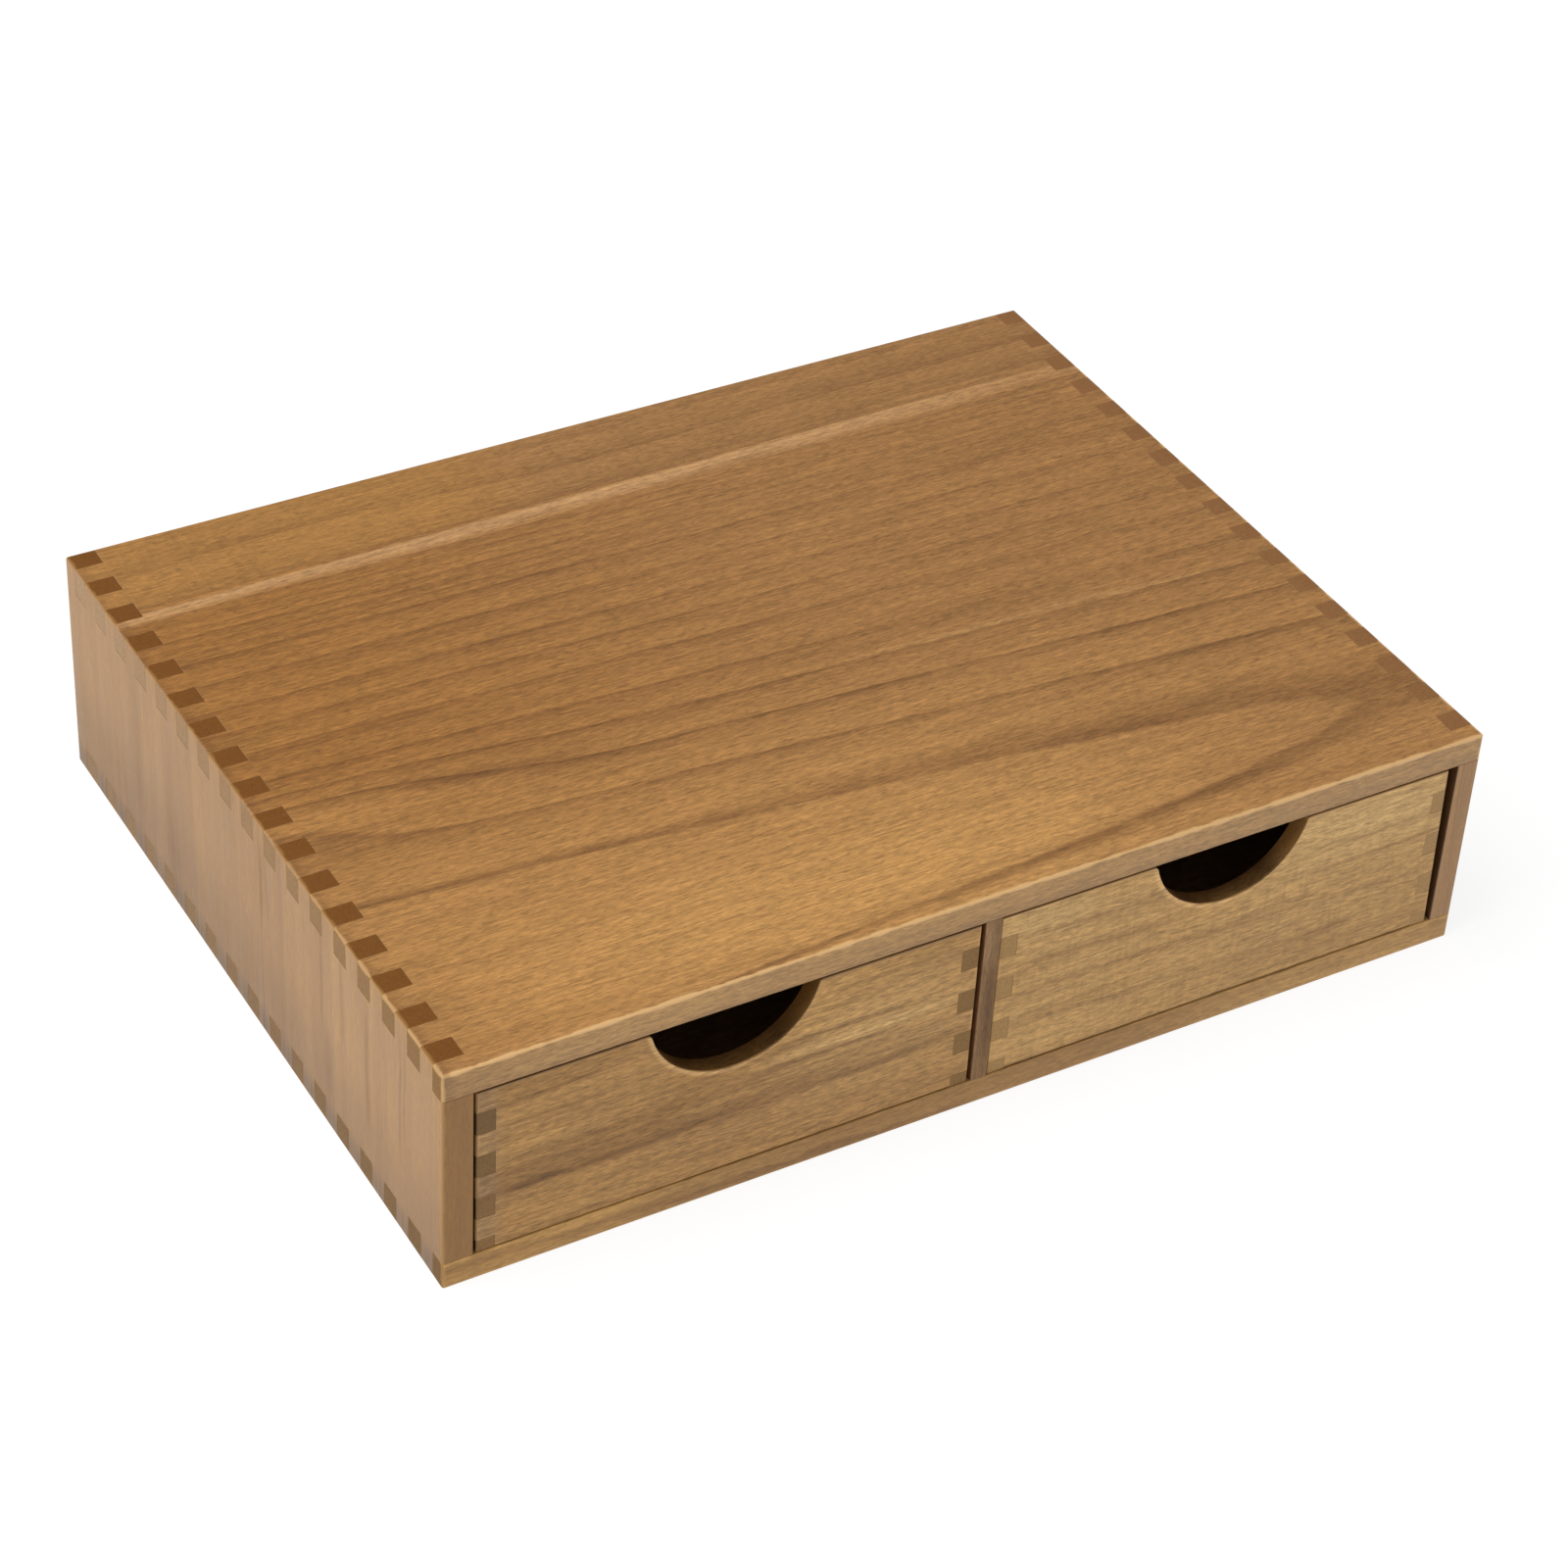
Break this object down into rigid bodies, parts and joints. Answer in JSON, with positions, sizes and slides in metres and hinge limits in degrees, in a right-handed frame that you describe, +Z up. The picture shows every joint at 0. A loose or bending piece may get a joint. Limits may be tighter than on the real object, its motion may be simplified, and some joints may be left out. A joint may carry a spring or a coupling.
{
  "type": "countertop organizer",
  "caption": "Low box-jointed wooden case with side-by-side drawers that slide out by round finger notches; its flat top carries things above.",
  "frame": {"origin": "middle of the footprint, on the surface that the case stands on", "axes": "+X along the front towards the viewer's right, +Y from the front to the back, +Z up"},
  "size_m": [0.35, 0.27, 0.08],
  "materials": {
    "top_boards": "golden brown solid wood, oiled, satin",
    "side_boards": "tan solid wood with upright grain, oiled, satin",
    "bottom_boards": "brown solid wood, oiled, satin",
    "divider": "brown solid wood, oiled, satin",
    "drawer_fronts": "olive tan solid wood, oiled, satin",
    "drawer_walls": "tan solid wood, sanded, matt",
    "plywood": "pale plywood, sanded, matt",
    "drawer_bottoms": "dark plywood, sanded, matt",
    "pins": "bright steel"
  },
  "bodies": {
    "case": {"top_front_board": "top_boards", "top_rear_board": "top_boards", "bottom_front_board": "bottom_boards", "bottom_rear_board": "bottom_boards", "left_side_front_board": "side_boards", "left_side_rear_board": "side_boards", "right_side_front_board": "side_boards", "right_side_rear_board": "side_boards", "centre_divider": "divider", "back_panel": "plywood", "back_panel_pins": "pins"},
    "left_drawer": {"left_drawer_front": "drawer_fronts", "left_drawer_left_side": "drawer_walls", "left_drawer_right_side": "drawer_walls", "left_drawer_back": "drawer_walls", "left_drawer_bottom": "drawer_bottoms"},
    "right_drawer": {"right_drawer_front": "drawer_fronts", "right_drawer_left_side": "drawer_walls", "right_drawer_right_side": "drawer_walls", "right_drawer_back": "drawer_walls", "right_drawer_bottom": "drawer_bottoms"}
  },
  "joints": [
    {"name": "left_drawer_slide", "type": "slide", "parent": "case", "child": "left_drawer", "axis": [0, -1, 0], "range_m": [0, 0.2]},
    {"name": "right_drawer_slide", "type": "slide", "parent": "case", "child": "right_drawer", "axis": [0, -1, 0], "range_m": [0, 0.2]}
  ]
}
